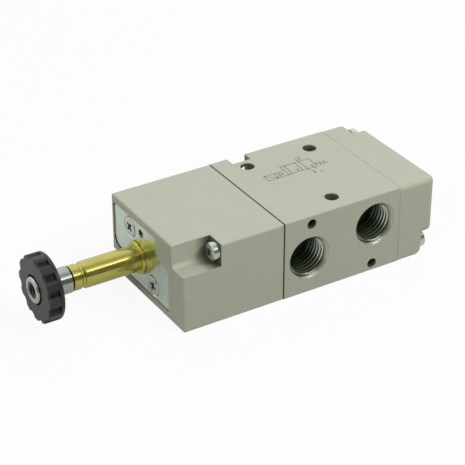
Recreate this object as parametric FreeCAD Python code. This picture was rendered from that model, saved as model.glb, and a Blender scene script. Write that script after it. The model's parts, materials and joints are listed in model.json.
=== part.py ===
import FreeCAD, Part
import os
from math import acos, cos, pi, sin, sqrt

V = FreeCAD.Vector
os.makedirs("parts", exist_ok=True)

# Millimetres. X runs along the spool, from the solenoid (-X) to the return spring (+X).
# Y runs from the face with two ports (-Y) to the face with one (+Y). Z is up.
# The origin is the centre of the valve body's bottom face.

# Outer block
block_width = 42.0
block_height = 25.5
body_length = 40.6
actuator_length = 33.35
end_cap_length = 12.75
gasket_thickness = 0.3
cap_gasket_inset = 0.3
end_gasket_inset = 0.08
body_edge_round = 0.25
cast_edge_round = 0.6
end_edge_round = 2.0
end_rim_round = 1.5
end_pocket_round = 2.0

# Fits
running_clearance = 0.05
seat_clearance = 0.02
screw_clearance = 0.1
screw_tip_room = 0.5

# Threaded ports, G1/4, bored at the thread's major radius
port_radius = 6.58
port_mouth_radius = 6.98
port_depth = 11.0
port_passage_radius = 4.2
port_spacing = 23.2
supply_port_height = 11.5
exhaust_port_height = 15.7
outlet_port_height = 12.75

# Holes that fasten the valve down or sideways
down_hole_radius = 2.2
down_hole_spacing = 22.4
down_hole_back_inset = 7.2
down_hole_front_inset = 6.3
side_hole_radius = 1.6
side_hole_spacing = 22.0
side_hole_top_inset = 2.8
side_hole_bottom_inset = 2.4
nut_slot_width = 6.4
nut_slot_depth = 3.7
nut_slot_reach = 3.2

# Spool, its bore and the stack of seals and cages
spool_height = 12.75
bore_radius = 7.0
bore_land_length = 2.1
bore_land_radius = 4.3
spool_radius = 4.0
spool_waist_radius = 2.6
spool_nose_radius = 2.95
spool_nose_length = 2.5
spigot_radius = 2.9
spigot_length = 1.5
spool_stroke = 4.5
waist_opening = 0.9
spool_overlap = 1.4
seal_width = 1.8
seal_groove_depth = 0.7
seal_groove_width = 0.8
guide_length = 2.1
guide_bore_radius = 4.7
cage_bore_radius = 5.3
cage_window_radius = 1.9
cage_window_count = 6
cage_channel_depth = 0.5
cage_rim_length = 1.2

# Piston and its chamber
chamber_radius = 10.0
chamber_depth = 12.0
piston_length = 5.5
piston_head_gap = 0.3
piston_dish_radius = 6.0
piston_dish_depth = 1.2
piston_dish_slope = 1.0
piston_chamfer = 0.3
piston_clearance = 0.06
piston_seal_width = 2.2
piston_seal_depth = 1.6
piston_seal_side_gap = 0.1
piston_seal_dip = 0.35

# Return spring and the end cap's chamber
spring_chamber_radius = 5.6
spring_chamber_depth = 9.0
spring_wire_radius = 0.45
spring_coil_radius = 3.7
spring_turns = 4.0
spring_end_turns = 0.75
spring_end_pitch = 1.05  # in wire diameters
spring_points_per_turn = 12

# Clamp screws, M3 pan head, in corner pockets
pocket_width = 6.5
pocket_height = 7.15
pocket_corner_round = 1.5
actuator_pocket_depth = 12.5
end_pocket_depth = 4.0
clamp_side_inset = 3.3
clamp_height_inset = 3.5
clamp_shank_radius = 1.5
clamp_head_radius = 2.8
clamp_head_height = 2.2
clamp_head_crown = 0.5
clamp_head_flat_radius = 1.4
clamp_recess_radius = 0.8
clamp_recess_depth = 1.2
clamp_thread_depth = 6.4

# Pilot plate
tube_offset = 3.7
tube_height = 12.75
plate_thickness = 2.0
plate_sink = 0.3
plate_gap = 0.4
plate_half_width = 15.7
plate_half_height = 10.1
plate_step_side = 8.55
plate_step_rise = 5.55
plate_knee_side = 10.8
plate_knee_rise = 3.35
plate_corner_round = 0.8
plate_low_corner_round = 2.6
plate_screw_offset = 6.6
plate_screw_radius = 1.75
plate_screw_head_radius = 3.3
plate_screw_head_proud = 0.2
plate_screw_head_chamfer = 0.3
plate_recess_radius = 0.9
plate_recess_depth = 1.0
plate_screw_length = 9.5

# Brass operator tube
tube_radius = 4.0
tube_bore_radius = 3.4
tube_reach = 23.15
collar_radius = 5.3
collar_height = 0.95
collar_round = 0.25
collar_groove_radius = 4.6
collar_groove_width = 0.3
shoulder_radius = 4.95
shoulder_height = 0.85
shoulder_round = 0.4
tube_neck_radius = 4.4
tube_flange_radius = 5.4
tube_flange_thickness = 1.0
tube_spigot_length = 2.3
crimp_from_end = 3.05
crimp_width = 1.3
crimp_depth = 0.4
crimp_shoulder = 0.4
lip_radius = 3.8
tube_seal_section = 1.35

# Fixed core with its stud
pole_from_end = 11.6
core_gap = 0.55
core_neck_radius = 3.15
core_head_radius = 3.95
core_head_length = 5.65
core_head_chamfer = 0.3
stud_radius = 2.1
stud_length = 3.4
vent_radius = 0.55
core_groove_width = 1.6
core_groove_depth = 0.75
core_groove_from_pole = 3.0
shading_inner_radius = 2.2
shading_width = 0.5
shading_depth = 1.0

# Plunger and pilot nozzle
plunger_radius = 3.33
plunger_stroke = 0.8
plunger_neck_radius = 2.3
plunger_neck_length = 5.8
plunger_slot_width = 0.8
plunger_slot_depth = 0.7
plunger_chamfer = 0.3
lower_disc_radius = 1.8
lower_disc_thickness = 1.6
upper_disc_radius = 1.3
upper_disc_thickness = 1.5
disc_proud = 0.25
disc_seat_gap = 0.02
plunger_wire_radius = 0.2
plunger_coil_radius = 2.82
plunger_spring_turns = 5.0
pilot_chamber_radius = 4.1
pilot_chamber_depth = 4.75
nozzle_radius = 2.0
nozzle_tip_radius = 1.0
nozzle_tip_height = 0.9
nozzle_length = 2.4
nozzle_bore_radius = 0.5

# Drilled pilot passages
supply_drill_radius = 0.8
pilot_drill_inset = 8.0
signal_drill_radius = 0.7
signal_drill_rise = 3.0
cross_drill_radius = 0.95
cross_drill_depth = 0.8
ball_radius = 1.5
ball_inset = 2.0

# Manual override
override_rise = 7.5
override_head_radius = 1.3
override_shoulder_radius = 1.6
override_shoulder_height = 0.8
override_stem_radius = 1.1
override_stem_length = 8.0
override_sink = 0.35
override_slot_width = 0.65
override_slot_depth = 0.8
override_hole_from_end = 1.5
override_seal_height = 0.8

# Knob
knob_radius = 10.1
knob_thickness = 4.8
knob_flange_thickness = 1.1
knob_edge_round = 0.5
knob_rim_round = 0.35
knob_flange_chamfer = 0.2
scallop_count = 12
scallop_radius = 1.9
scallop_depth = 0.85
knob_seat_gap = 0.05
insert_radius = 4.1
insert_body_radius = 3.5
insert_face_depth = 1.4
insert_proud = 0.8
insert_rim_round = 0.7
insert_chamfer = 0.5
face_recess_radius = 4.6
face_recess_depth = 0.7
ring_mean_radius = 6.4
ring_section_radius = 0.75
ring_proud = 0.25

# Derived places along X
body_left = -body_length / 2
body_right = body_length / 2
actuator_right = body_left - gasket_thickness
actuator_left = actuator_right - actuator_length
end_left = body_right + gasket_thickness
end_right = end_left + end_cap_length
front = -block_width / 2
back = block_width / 2
plate_outer = actuator_left + plate_sink
plate_inner = plate_outer + plate_thickness
flange_inner = plate_inner + tube_flange_thickness
seal_floor = flange_inner + tube_seal_section
chamber_floor = seal_floor + pilot_chamber_depth - tube_spigot_length
tube_end = actuator_left - tube_reach
pole_face = tube_end + pole_from_end
core_head_right = tube_end - core_gap
core_head_left = core_head_right - core_head_length
nozzle_tip_x = chamber_floor - nozzle_tip_height
plunger_low = nozzle_tip_x - disc_seat_gap - disc_proud
plunger_high = pole_face + plunger_stroke + disc_seat_gap + disc_proud
plunger_shoulder = plunger_high + plunger_neck_length
inner_seal = port_spacing / 4
left_end_seal = body_left + bore_land_length + seal_width / 2
right_end_seal = body_right - guide_length - seal_width / 2
chamber_left = actuator_right - chamber_depth
piston_left = chamber_left + piston_head_gap
piston_right = piston_left + piston_length
spool_end = body_right - spigot_length
actuator_pocket_end = actuator_left + actuator_pocket_depth
end_pocket_start = end_right - end_pocket_depth


def box(x0, x1, y0, y1, z0, z1):
    return Part.makeBox(x1 - x0, y1 - y0, z1 - z0, V(x0, y0, z0))


def rod_x(radius, x0, x1, y, z):
    return Part.makeCylinder(radius, x1 - x0, V(x0, y, z), V(1, 0, 0))


def rod_y(radius, y0, y1, x, z):
    return Part.makeCylinder(radius, y1 - y0, V(x, y0, z), V(0, 1, 0))


def rod_z(radius, z0, z1, x, y):
    return Part.makeCylinder(radius, z1 - z0, V(x, y, z0), V(0, 0, 1))


def cone_x(r0, r1, x0, x1, y, z):
    return Part.makeCone(r0, r1, x1 - x0, V(x0, y, z), V(1, 0, 0))


def turned(profile, y, z):
    """Turn a closed outline of (x, radius) points about the line along X at y, z."""
    points = [V(x, y + radius, z) for x, radius in profile]
    face = Part.Face(Part.makePolygon(points + points[:1]))
    return face.revolve(V(0, y, z), V(1, 0, 0), 360)


def turned_wire(edges, y, z):
    """Turn a closed outline of edges, drawn in the plane z, about the line along X."""
    face = Part.Face(Part.Wire(edges))
    return face.revolve(V(0, y, z), V(1, 0, 0), 360)


def ring_x(outer, inner, x0, x1, y, z):
    return rod_x(outer, x0, x1, y, z).cut(rod_x(inner, x0 - 1, x1 + 1, y, z))


def o_ring(mean_radius, section_radius, x, y, z):
    return Part.makeTorus(mean_radius, section_radius, V(x, y, z), V(1, 0, 0))


def prism_x(outline, x0, x1):
    """Raise a closed outline of (y, z) points from x0 to x1."""
    points = [V(x0, y, z) for y, z in outline]
    face = Part.Face(Part.makePolygon(points + points[:1]))
    return face.extrude(V(x1 - x0, 0, 0))


def edges_along(shape, axis):
    """Straight edges of a shape that run along one axis."""
    found = []
    for edge in shape.Edges:
        if not isinstance(edge.Curve, Part.Line) or edge.Length < 0.01:
            continue
        span = edge.Vertexes[-1].Point - edge.Vertexes[0].Point
        if abs(abs(span.normalize().dot(axis)) - 1) < 1e-6:
            found.append(edge)
    return found


def save(name, *solids):
    shape = solids[0] if len(solids) == 1 else Part.makeCompound(list(solids))
    shape.exportStep("parts/" + name + ".step")


# Corner screws: the places of each pair, as side and level signs
actuator_corners = [(-1, 1), (1, -1)]
end_corners = [(-1, -1), (1, 1)]


def clamp_place(corner):
    side, level = corner
    y = side * (back - clamp_side_inset)
    z = block_height - clamp_height_inset if level > 0 else clamp_height_inset
    return y, z


def corner_pocket(corner, x0, x1):
    """A pocket cut into a lengthwise corner of the block, with one rounded inner corner."""
    side, level = corner
    inner_y = side * (back - pocket_width)
    outer_y = side * (back + 1)
    inner_z = block_height - pocket_height if level > 0 else pocket_height
    outer_z = block_height + 1 if level > 0 else -1
    pocket = box(x0, x1, min(inner_y, outer_y), max(inner_y, outer_y),
                 min(inner_z, outer_z), max(inner_z, outer_z))
    inner = [edge for edge in edges_along(pocket, V(1, 0, 0))
             if abs(edge.CenterOfMass.y - inner_y) < 0.01 and abs(edge.CenterOfMass.z - inner_z) < 0.01]
    return pocket.makeFillet(pocket_corner_round, inner)


def clamp_screw(corner, head_x, tip_x):
    """Pan-head screw whose head rests at head_x and whose tip is at tip_x."""
    y, z = clamp_place(corner)
    away = 1 if head_x > tip_x else -1
    top = head_x + away * clamp_head_height
    flank = top - away * clamp_head_crown
    flat = clamp_head_flat_radius
    middle_x = flank + away * clamp_head_crown * sqrt(0.5)
    middle_y = y + flat + (clamp_head_radius - flat) * sqrt(0.5)
    crown = Part.Arc(V(flank, y + clamp_head_radius, z), V(middle_x, middle_y, z),
                     V(top, y + flat, z)).toShape()
    outline = [
        V(top, y, z),
        V(tip_x, y, z),
        V(tip_x, y + clamp_shank_radius, z),
        V(head_x, y + clamp_shank_radius, z),
        V(head_x, y + clamp_head_radius, z),
        V(flank, y + clamp_head_radius, z),
    ]
    lines = [Part.LineSegment(a, b).toShape() for a, b in zip(outline, outline[1:])]
    closing = Part.LineSegment(V(top, y + flat, z), V(top, y, z)).toShape()
    screw = turned_wire(lines + [crown, closing], y, z)
    x0, x1 = sorted((top + away, top - away * clamp_recess_depth))
    return screw.cut(rod_x(clamp_recess_radius, x0, x1, y, z))


# Valve body
def make_valve_body():
    body = box(body_left, body_right, front, back, 0, block_height)
    body = body.makeFillet(body_edge_round, edges_along(body, V(1, 0, 0)))

    mouth = port_mouth_radius - port_radius
    ports = [
        (-port_spacing / 2, supply_port_height, -1),
        (port_spacing / 2, exhaust_port_height, -1),
        (0, outlet_port_height, 1),
    ]
    for x, z, side in ports:
        face_y = side * back
        inner_y = face_y - side * port_depth
        body = body.cut(rod_y(port_radius, min(face_y, inner_y), max(face_y, inner_y), x, z))
        body = body.cut(rod_y(port_passage_radius, min(0, inner_y), max(0, inner_y), x, z))
        cone = Part.makeCone(port_mouth_radius, port_radius, mouth, V(x, face_y, z), V(0, -side, 0))
        body = body.cut(cone)

    body = body.cut(rod_x(bore_radius, body_left + bore_land_length, body_right + 1, 0, spool_height))
    body = body.cut(rod_x(bore_land_radius, body_left - 1, body_right, 0, spool_height))

    for x in (-down_hole_spacing / 2, down_hole_spacing / 2):
        body = body.cut(rod_z(down_hole_radius, -1, block_height + 1, x, back - down_hole_back_inset))
    body = body.cut(rod_z(down_hole_radius, -1, block_height + 1, 0, front + down_hole_front_inset))

    slot_y = back - nut_slot_depth
    for x, z, open_z in [
        (-side_hole_spacing / 2, block_height - side_hole_top_inset, block_height + 1),
        (side_hole_spacing / 2, side_hole_bottom_inset, -1),
    ]:
        body = body.cut(rod_y(side_hole_radius, front - 1, back + 1, x, z))
        floor = z - nut_slot_reach if open_z > 0 else z + nut_slot_reach
        slot = box(x - nut_slot_width / 2, x + nut_slot_width / 2, slot_y, back + 1,
                   min(floor, open_z), max(floor, open_z))
        body = body.cut(slot)

    for corner in actuator_corners:
        y, z = clamp_place(corner)
        body = body.cut(rod_x(clamp_shank_radius + seat_clearance, body_left - 1,
                              body_left + clamp_thread_depth, y, z))
    for corner in end_corners:
        y, z = clamp_place(corner)
        body = body.cut(rod_x(clamp_shank_radius + seat_clearance, body_right - clamp_thread_depth,
                              body_right + 1, y, z))

    drill_y = front + pilot_drill_inset
    drill_end = -port_spacing / 2 - port_radius / 2
    return body.cut(rod_x(supply_drill_radius, body_left - 1, drill_end, drill_y, tube_height))


# Plate outline about the tube's axis: a rectangle with two opposite corners stepped in
def plate_outline(grow):
    w = plate_half_width + grow
    h = plate_half_height + grow
    step_y = plate_step_side + grow
    step_z = plate_step_rise + grow
    knee_y = plate_knee_side + grow
    knee_z = plate_knee_rise + grow
    return [
        (-w, -h), (step_y, -h), (step_y, -step_z), (knee_y, -knee_z), (w, -knee_z),
        (w, h), (-step_y, h), (-step_y, step_z), (-knee_y, knee_z), (-w, knee_z),
    ]


def plate_prism(grow, x0, x1):
    outline = [(tube_offset + y, tube_height + z) for y, z in plate_outline(grow)]
    plate = prism_x(outline, x0, x1)
    width = plate_half_width + grow
    long_edges = edges_along(plate, V(1, 0, 0))
    corners = [edge for edge in long_edges
               if abs(abs(edge.CenterOfMass.y - tube_offset) - width) < 0.01]
    low_back = [edge for edge in corners
                if edge.CenterOfMass.y > tube_offset and edge.CenterOfMass.z < tube_height]
    others = [edge for edge in corners if edge not in low_back]
    plate = plate.makeFillet(plate_corner_round + grow, others)
    low_back = [edge for edge in edges_along(plate, V(1, 0, 0))
                if abs(edge.CenterOfMass.y - tube_offset - width) < 0.01
                and edge.CenterOfMass.z < tube_height]
    return plate.makeFillet(plate_low_corner_round + grow, low_back)


plate_screw_places = [
    (tube_offset + plate_screw_offset, tube_height + plate_screw_offset),
    (tube_offset - plate_screw_offset, tube_height - plate_screw_offset),
]
head_cone_height = plate_screw_head_radius - plate_screw_radius


# Actuator cap
def make_actuator_cap():
    cap = box(actuator_left, actuator_right, front, back, 0, block_height)
    outer = edges_along(cap, V(1, 0, 0))
    outer += [edge for edge in cap.Edges if abs(edge.CenterOfMass.x - actuator_left) < 0.01]
    cap = cap.makeFillet(cast_edge_round, outer)

    cap = cap.cut(plate_prism(plate_gap, actuator_left - 1, plate_inner))
    shank_hole = clamp_shank_radius + screw_clearance
    for corner in actuator_corners:
        y, z = clamp_place(corner)
        cap = cap.cut(corner_pocket(corner, actuator_left - 1, actuator_pocket_end))
        cap = cap.cut(rod_x(shank_hole, actuator_pocket_end - 1, actuator_right + 1, y, z))

    cap = cap.cut(rod_x(chamber_radius, chamber_left, actuator_right + 1, 0, spool_height))

    y, z = tube_offset, tube_height
    cap = cap.cut(rod_x(tube_flange_radius + screw_clearance, plate_inner - 1, seal_floor, y, z))
    cap = cap.cut(rod_x(pilot_chamber_radius, seal_floor - 1, chamber_floor, y, z))
    nozzle_end = chamber_floor + nozzle_length
    cross_x = nozzle_end + cross_drill_depth
    cap = cap.cut(rod_x(nozzle_radius + seat_clearance, chamber_floor - 1, nozzle_end, y, z))
    cap = cap.cut(rod_x(supply_drill_radius, nozzle_end - 1, cross_x, y, z))
    supply_y = front + pilot_drill_inset
    cross_y = supply_y - 2 * supply_drill_radius
    cap = cap.cut(rod_y(cross_drill_radius, cross_y, back - ball_inset, cross_x, z))
    cap = cap.cut(rod_y(ball_radius + seat_clearance, back - ball_inset - ball_radius, back + 1, cross_x, z))
    cap = cap.cut(rod_x(supply_drill_radius, cross_x, actuator_right + 1, supply_y, z))
    cap = cap.cut(rod_x(signal_drill_radius, chamber_floor - 1, chamber_left + 1, y, z + signal_drill_rise))

    for y, z in plate_screw_places:
        end = plate_outer + plate_screw_length + screw_tip_room
        cap = cap.cut(rod_x(plate_screw_radius + seat_clearance, plate_inner - 1, end, y, z))

    y, z = tube_offset, tube_height + override_rise
    shoulder_end = plate_inner + override_shoulder_height + override_seal_height
    stem_end = plate_inner + override_stem_length + screw_tip_room
    cap = cap.cut(rod_x(override_shoulder_radius + running_clearance, plate_inner - 1, shoulder_end, y, z))
    cap = cap.cut(rod_x(override_stem_radius + running_clearance, plate_inner - 1, stem_end, y, z))
    return cap


# End cap
def make_end_cap():
    """Block with rounded outer edges; the roundings follow the screw pockets too."""
    cap = box(end_left, end_right, front, back, 0, block_height)
    upright = [edge for edge in edges_along(cap, V(0, 0, 1)) if edge.CenterOfMass.x > end_left + 1]
    cap = cap.makeFillet(end_edge_round, upright)
    for corner in end_corners:
        cap = cap.cut(corner_pocket(corner, end_pocket_start, end_right + 1))

    def level(edge):
        return edge.CenterOfMass.z < 0.01 or edge.CenterOfMass.z > block_height - 0.01

    ledges = [edge for edge in edges_along(cap, V(0, 1, 0))
              if level(edge) and abs(edge.CenterOfMass.x - end_pocket_start) < 0.01]
    cap = cap.makeFillet(end_pocket_round, ledges)
    seam = back - end_edge_round
    rim = [edge for edge in cap.Edges
           if edge.BoundBox.XMin > end_right - 0.01 and abs(abs(edge.CenterOfMass.y) - seam) > 0.01]
    cap = cap.makeFillet(end_rim_round, rim)
    lengthwise = [edge for edge in edges_along(cap, V(1, 0, 0))
                  if level(edge) and abs(abs(edge.CenterOfMass.y) - back) < 0.01]
    cap = cap.makeFillet(cast_edge_round, lengthwise)

    for corner in end_corners:
        y, z = clamp_place(corner)
        cap = cap.cut(rod_x(clamp_shank_radius + screw_clearance, end_left - 1, end_right, y, z))
    return cap.cut(rod_x(spring_chamber_radius, end_left - 1, end_left + spring_chamber_depth,
                         0, spool_height))


# Gaskets
def make_gasket(x0, inset, bore, corners, pilot):
    gasket = box(x0, x0 + gasket_thickness, front + inset, back - inset, inset, block_height - inset)
    gasket = gasket.cut(rod_x(bore, x0 - 1, x0 + 1, 0, spool_height))
    for corner in corners:
        y, z = clamp_place(corner)
        gasket = gasket.cut(rod_x(clamp_shank_radius + screw_clearance, x0 - 1, x0 + 1, y, z))
    if pilot:
        gasket = gasket.cut(rod_x(supply_drill_radius, x0 - 1, x0 + 1,
                                  front + pilot_drill_inset, tube_height))
    return gasket


# Spool and the sealing stack
waist_left = inner_seal - seal_width / 2 - waist_opening
waist_right = right_end_seal - seal_width / 2 - spool_stroke - spool_overlap


def make_spool():
    r = spool_radius
    w = spool_waist_radius
    slope = r - w
    left = piston_right
    profile = [
        (left - spool_nose_length, 0), (left - spool_nose_length, spool_nose_radius),
        (left, spool_nose_radius), (left, r),
        (-waist_right - spool_stroke, r), (-waist_right - spool_stroke + slope, w),
        (-waist_left - spool_stroke - slope, w), (-waist_left - spool_stroke, r),
        (waist_left, r), (waist_left + slope, w), (waist_right - slope, w), (waist_right, r),
        (spool_end, r), (spool_end, spigot_radius),
        (spool_end + spigot_length, spigot_radius), (spool_end + spigot_length, 0),
    ]
    return turned(profile, 0, spool_height)


def make_lip_seal(x):
    """Ring with a groove in its rubbing face, so that two lips bear on the spool."""
    half = seal_width / 2
    outer = bore_radius - seat_clearance
    inner = spool_radius + running_clearance
    lip = seal_groove_width / 2
    profile = [
        (x - half, outer), (x - half, inner), (x - lip, inner), (x, inner + seal_groove_depth),
        (x + lip, inner), (x + half, inner), (x + half, outer), (x, outer - seal_groove_depth),
    ]
    return turned(profile, 0, spool_height)


def make_cage(x0, x1):
    """Spacer with a shallow channel outside and round windows into the bore."""
    outer = bore_radius - seat_clearance
    rim = cage_rim_length
    channel = outer - cage_channel_depth
    profile = [
        (x0, cage_bore_radius), (x0, outer), (x0 + rim, outer), (x0 + rim, channel),
        (x1 - rim, channel), (x1 - rim, outer), (x1, outer), (x1, cage_bore_radius),
    ]
    cage = turned(profile, 0, spool_height)
    middle = (x0 + x1) / 2
    for i in range(cage_window_count):
        angle = 2 * pi * i / cage_window_count
        window = Part.makeCylinder(cage_window_radius, bore_radius, V(middle, 0, spool_height),
                                   V(0, cos(angle), sin(angle)))
        cage = cage.cut(window)
    return cage


seal_places = [left_end_seal, -inner_seal, inner_seal, right_end_seal]


def make_guide_ring():
    return ring_x(bore_radius - seat_clearance, guide_bore_radius, body_right - guide_length,
                  body_right, 0, spool_height)


def make_piston():
    r = chamber_radius - piston_clearance
    middle = (piston_left + piston_right) / 2
    half = piston_seal_width / 2
    groove = r - piston_seal_depth
    socket = spool_nose_radius + seat_clearance
    floor = piston_right - spool_nose_length - seat_clearance
    dish = piston_left + piston_dish_depth
    c = piston_chamfer
    profile = [
        (dish, 0), (dish, piston_dish_radius - piston_dish_slope),
        (piston_left, piston_dish_radius), (piston_left, r - c), (piston_left + c, r),
        (middle - half, r), (middle - half, groove), (middle + half, groove), (middle + half, r),
        (piston_right - c, r), (piston_right, r - c), (piston_right, socket), (floor, socket), (floor, 0),
    ]
    return turned(profile, 0, spool_height)


def make_piston_seal():
    outer = chamber_radius - running_clearance
    inner = chamber_radius - piston_clearance - piston_seal_depth + seat_clearance
    middle = (piston_left + piston_right) / 2
    half = piston_seal_width / 2 - piston_seal_side_gap
    profile = [
        (middle - half, inner), (middle - half, outer), (middle, outer - piston_seal_dip),
        (middle + half, outer), (middle + half, inner),
    ]
    return turned(profile, 0, spool_height)


def make_spring(x0, x1, y, z, coil_radius, wire_radius, turns):
    """Compression spring from x0 to x1, whose end coils lie nearly closed on their seats."""
    end_pitch = 2 * wire_radius * spring_end_pitch
    low = x0 + wire_radius + seat_clearance
    rise = x1 - x0 - 2 * (wire_radius + seat_clearance)
    end_rise = end_pitch * spring_end_turns
    total_turns = turns + 2 * spring_end_turns
    count = int(total_turns * spring_points_per_turn)
    points = []
    for i in range(count + 1):
        turn = total_turns * i / count
        if turn < spring_end_turns:
            along = end_pitch * turn
        elif turn < total_turns - spring_end_turns:
            along = end_rise + (rise - 2 * end_rise) * (turn - spring_end_turns) / turns
        else:
            along = rise - end_pitch * (total_turns - turn)
        angle = 2 * pi * turn
        points.append(V(low + along, y + coil_radius * cos(angle), z + coil_radius * sin(angle)))
    line = Part.BSplineCurve()
    line.interpolate(points)
    section = Part.Wire(Part.makeCircle(wire_radius, points[0], line.tangent(line.FirstParameter)[0]))
    return Part.Wire(line.toShape()).makePipeShell([section], True, True)


# Pilot group
def make_plate():
    plate = plate_prism(0, plate_outer, plate_inner)
    y, z = tube_offset, tube_height
    plate = plate.cut(rod_x(tube_neck_radius + seat_clearance, plate_outer - 1, plate_inner + 1, y, z))
    plate = plate.cut(rod_x(override_head_radius + running_clearance, plate_outer - 1, plate_inner + 1,
                            y, z + override_rise))
    hole = plate_screw_radius + screw_clearance
    sink = plate_screw_head_radius + screw_clearance
    for y, z in plate_screw_places:
        plate = plate.cut(rod_x(hole, plate_outer - 1, plate_inner + 1, y, z))
        plate = plate.cut(cone_x(sink, hole, plate_outer, plate_outer + head_cone_height, y, z))
    return plate


def make_plate_screw(y, z):
    top = plate_outer - plate_screw_head_proud
    head = plate_screw_head_radius
    profile = [
        (top, 0), (top, head - plate_screw_head_chamfer), (plate_outer, head),
        (plate_outer + head_cone_height, plate_screw_radius),
        (plate_outer + plate_screw_length, plate_screw_radius), (plate_outer + plate_screw_length, 0),
    ]
    screw = turned(profile, y, z)
    return screw.cut(rod_x(plate_recess_radius, top - 1, top + plate_recess_depth, y, z))


def make_operator_tube():
    """Drawn tube with a two-step collar, a flange under the plate and a rolled crimp."""
    y, z = tube_offset, tube_height
    collar_left = plate_outer - collar_height
    groove_left = collar_left - collar_groove_width
    shoulder_left = groove_left - shoulder_height
    crimp = tube_end + crimp_from_end
    half = crimp_width / 2
    bore = tube_bore_radius
    lip = lip_radius
    inner_end = flange_inner + tube_spigot_length

    def point(x, radius):
        return V(x, y + radius, z)

    def line(a, b):
        return Part.LineSegment(point(*a), point(*b)).toShape()

    def arc(a, b, c):
        return Part.Arc(point(*a), point(*b), point(*c)).toShape()

    def corner(x, radius, size):
        """Quarter round that starts on a face towards -X and ends on a cylinder."""
        short = size * (1 - sqrt(0.5))
        return arc((x, radius - size), (x + short, radius - short), (x + size, radius))

    edges = [
        line((tube_end, bore), (tube_end, lip)),
        line((tube_end, lip), (crimp - half, lip)),
        arc((crimp - half, lip), (crimp, lip - crimp_depth), (crimp + half, lip)),
        line((crimp + half, lip), (crimp + half + crimp_shoulder, tube_radius)),
        line((crimp + half + crimp_shoulder, tube_radius), (shoulder_left, tube_radius)),
        line((shoulder_left, tube_radius), (shoulder_left, shoulder_radius - shoulder_round)),
        corner(shoulder_left, shoulder_radius, shoulder_round),
        line((shoulder_left + shoulder_round, shoulder_radius), (groove_left, shoulder_radius)),
        line((groove_left, shoulder_radius), (groove_left, collar_groove_radius)),
        line((groove_left, collar_groove_radius), (collar_left, collar_groove_radius)),
        line((collar_left, collar_groove_radius), (collar_left, collar_radius - collar_round)),
        corner(collar_left, collar_radius, collar_round),
        line((collar_left + collar_round, collar_radius), (plate_outer, collar_radius)),
        line((plate_outer, collar_radius), (plate_outer, tube_neck_radius)),
        line((plate_outer, tube_neck_radius), (plate_inner, tube_neck_radius)),
        line((plate_inner, tube_neck_radius), (plate_inner, tube_flange_radius)),
        line((plate_inner, tube_flange_radius), (flange_inner, tube_flange_radius)),
        line((flange_inner, tube_flange_radius), (flange_inner, tube_radius)),
        line((flange_inner, tube_radius), (inner_end, tube_radius)),
        line((inner_end, tube_radius), (inner_end, bore)),
        line((inner_end, bore), (crimp + half, bore)),
        arc((crimp + half, bore), (crimp, bore - crimp_depth), (crimp - half, bore)),
        line((crimp - half, bore), (tube_end, bore)),
    ]
    return turned_wire(edges, y, z)


def make_fixed_core():
    """Steel core: pole face, seal groove, crimp groove, outer head and threaded stud."""
    y, z = tube_offset, tube_height
    spigot = tube_bore_radius - seat_clearance
    crimp = tube_end + crimp_from_end
    half = crimp_width / 2
    low = spigot - crimp_depth - seat_clearance
    groove_x = pole_face - core_groove_from_pole
    groove = spigot - core_groove_depth
    c = core_head_chamfer
    stud_end = core_head_left - stud_length
    profile = [
        (stud_end, 0), (stud_end, stud_radius - c), (stud_end + c, stud_radius),
        (core_head_left, stud_radius), (core_head_left, core_head_radius - c),
        (core_head_left + c, core_head_radius), (core_head_right, core_head_radius),
        (core_head_right, core_neck_radius), (tube_end, core_neck_radius), (tube_end, spigot),
        (crimp - half, spigot), (crimp - half, low), (crimp + half, low), (crimp + half, spigot),
        (groove_x - core_groove_width, spigot), (groove_x - core_groove_width, groove),
        (groove_x, groove), (groove_x, spigot), (pole_face, spigot),
        (pole_face, shading_inner_radius + shading_width),
        (pole_face - shading_depth, shading_inner_radius + shading_width),
        (pole_face - shading_depth, shading_inner_radius), (pole_face, shading_inner_radius),
        (pole_face, 0),
    ]
    core = turned(profile, y, z)
    return core.cut(rod_x(vent_radius, stud_end - 1, pole_face + 1, y, z))


def make_core_seal():
    groove_x = pole_face - core_groove_from_pole
    spigot = tube_bore_radius - seat_clearance
    section = core_groove_depth / 2
    return o_ring(spigot - section, section - seat_clearance / 2, groove_x - core_groove_width / 2,
                  tube_offset, tube_height)


def make_shading_ring():
    inner = shading_inner_radius + seat_clearance
    outer = shading_inner_radius + shading_width - seat_clearance
    return ring_x(outer, inner, pole_face - shading_depth, pole_face, tube_offset, tube_height)


def make_tube_seal():
    section = tube_seal_section / 2
    return o_ring(tube_radius + section + seat_clearance, section, flange_inner + section,
                  tube_offset, tube_height)


def make_plunger():
    y, z = tube_offset, tube_height
    profile = [
        (plunger_high, 0), (plunger_high, plunger_neck_radius), (plunger_shoulder, plunger_neck_radius),
        (plunger_shoulder, plunger_radius), (plunger_low - plunger_chamfer, plunger_radius),
        (plunger_low, plunger_radius - plunger_chamfer), (plunger_low, 0),
    ]
    plunger = turned(profile, y, z)
    plunger = plunger.cut(rod_x(lower_disc_radius, plunger_low + disc_proud - lower_disc_thickness,
                                plunger_low + 1, y, z))
    plunger = plunger.cut(rod_x(upper_disc_radius, plunger_high - 1,
                                plunger_high - disc_proud + upper_disc_thickness, y, z))
    half = plunger_slot_width / 2
    depth = plunger_radius - plunger_slot_depth
    for sign in (-1, 1):
        y0, y1 = sorted((y + sign * depth, y + sign * (plunger_radius + 1)))
        plunger = plunger.cut(box(plunger_shoulder - 1, plunger_low + 1, y0, y1, z - half, z + half))
    return plunger


def make_lower_disc():
    return rod_x(lower_disc_radius - seat_clearance, plunger_low + disc_proud - lower_disc_thickness,
                 plunger_low + disc_proud, tube_offset, tube_height)


def make_upper_disc():
    return rod_x(upper_disc_radius - seat_clearance, plunger_high - disc_proud,
                 plunger_high - disc_proud + upper_disc_thickness, tube_offset, tube_height)


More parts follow.
